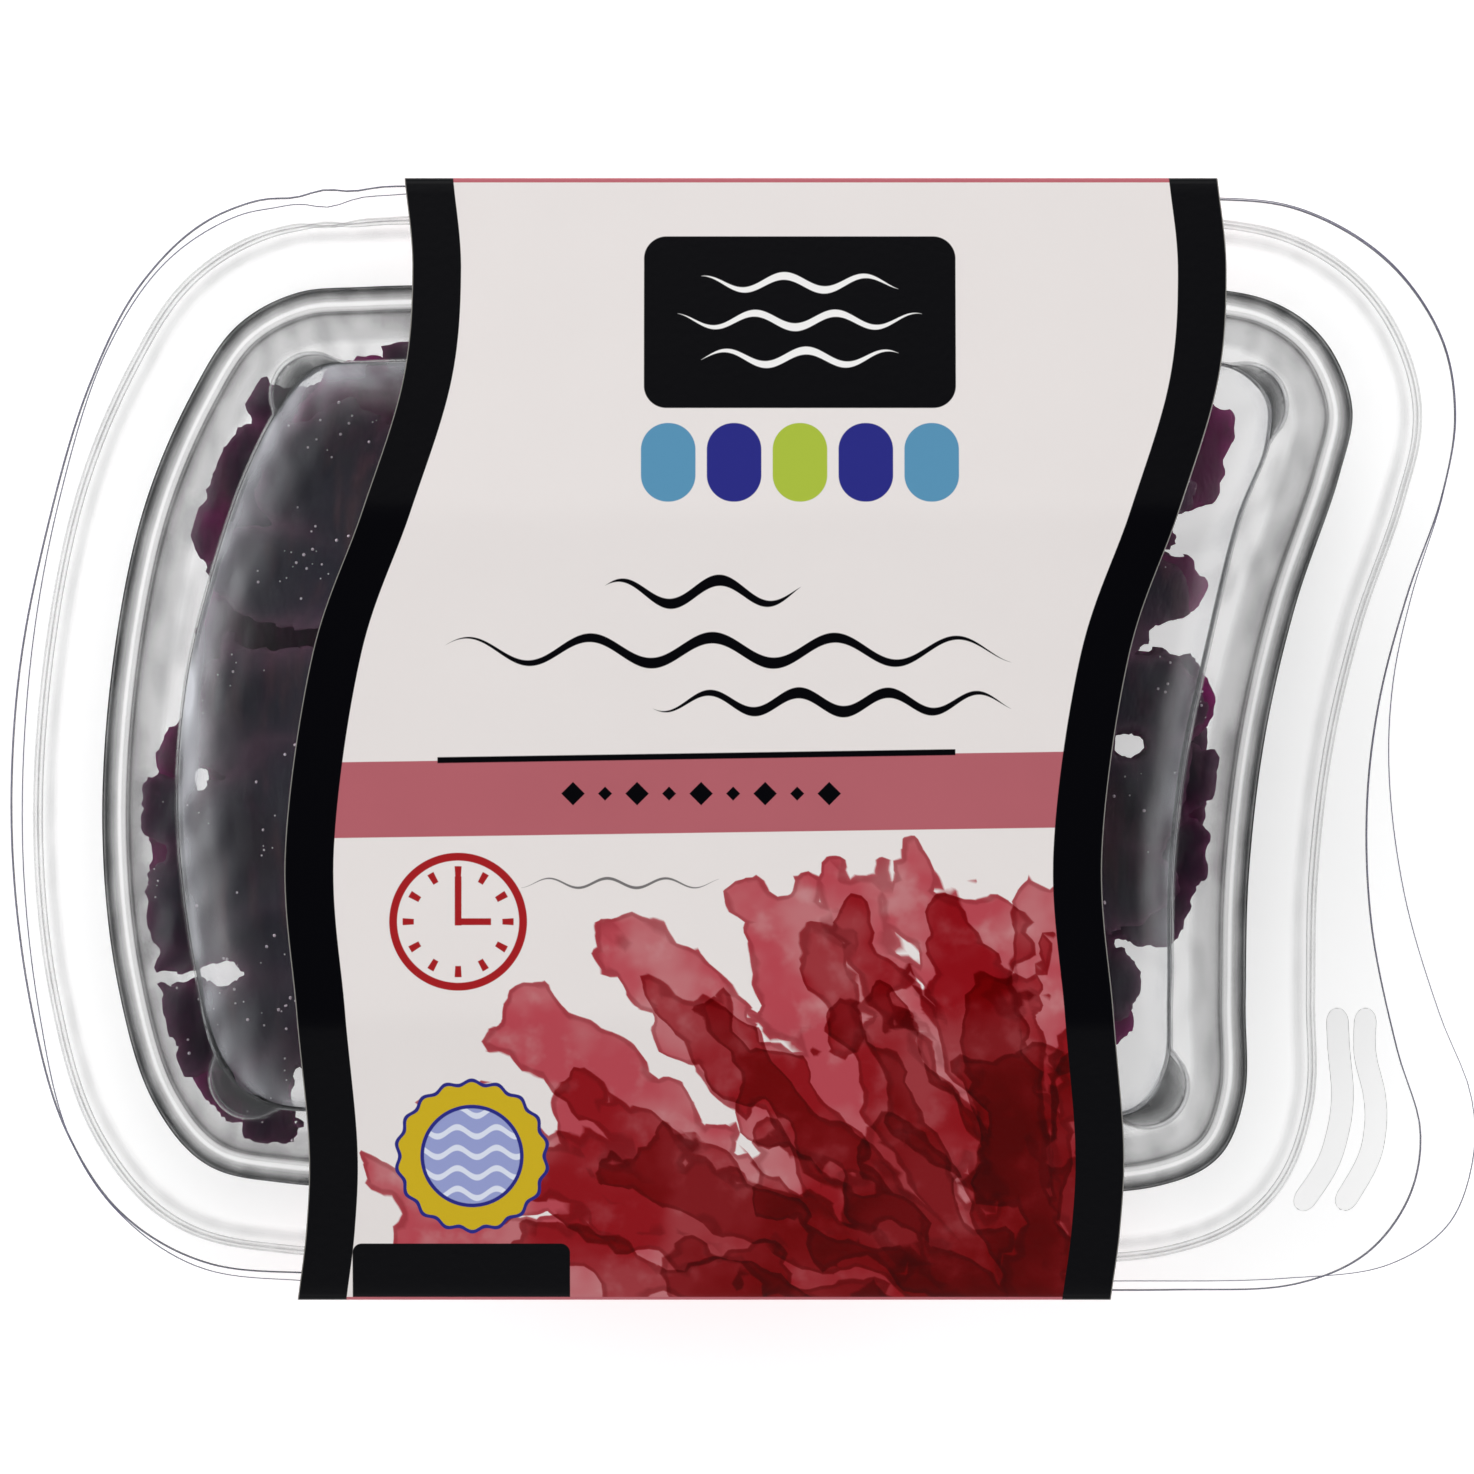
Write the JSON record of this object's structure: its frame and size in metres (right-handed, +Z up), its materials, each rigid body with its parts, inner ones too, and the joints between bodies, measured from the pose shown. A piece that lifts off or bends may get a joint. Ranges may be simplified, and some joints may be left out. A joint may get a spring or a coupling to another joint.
{
  "type": "sleeved clear tub of dulse seaweed",
  "caption": "Low clear tub of salted dulse fronds with a domed lid pressed into its mouth, a wide wavy flange with a pull tab, and a card sleeve wrapped round its middle.",
  "frame": {"origin": "on the surface that the pack lies on, under the middle of its bounding box", "axes": "+Z up through the lid, +X along the pack's length towards the pull tab, +Y across it away from the corner that has the tab"},
  "size_m": [0.1567, 0.1198, 0.0344],
  "materials": {
    "tub": "clear formed sheet, glossy",
    "lid": "clear formed sheet, glossy",
    "sleeve": "smooth printed card, satin",
    "dulse": "damp salted frond, satin"
  },
  "bodies": {
    "root": {"tub": "tub", "lid": "lid", "sleeve": "sleeve", "frond_01": "dulse", "frond_02": "dulse", "frond_03": "dulse", "frond_04": "dulse", "frond_05": "dulse", "frond_06": "dulse", "frond_07": "dulse", "frond_08": "dulse", "frond_09": "dulse", "frond_10": "dulse"}
  },
  "joints": []
}
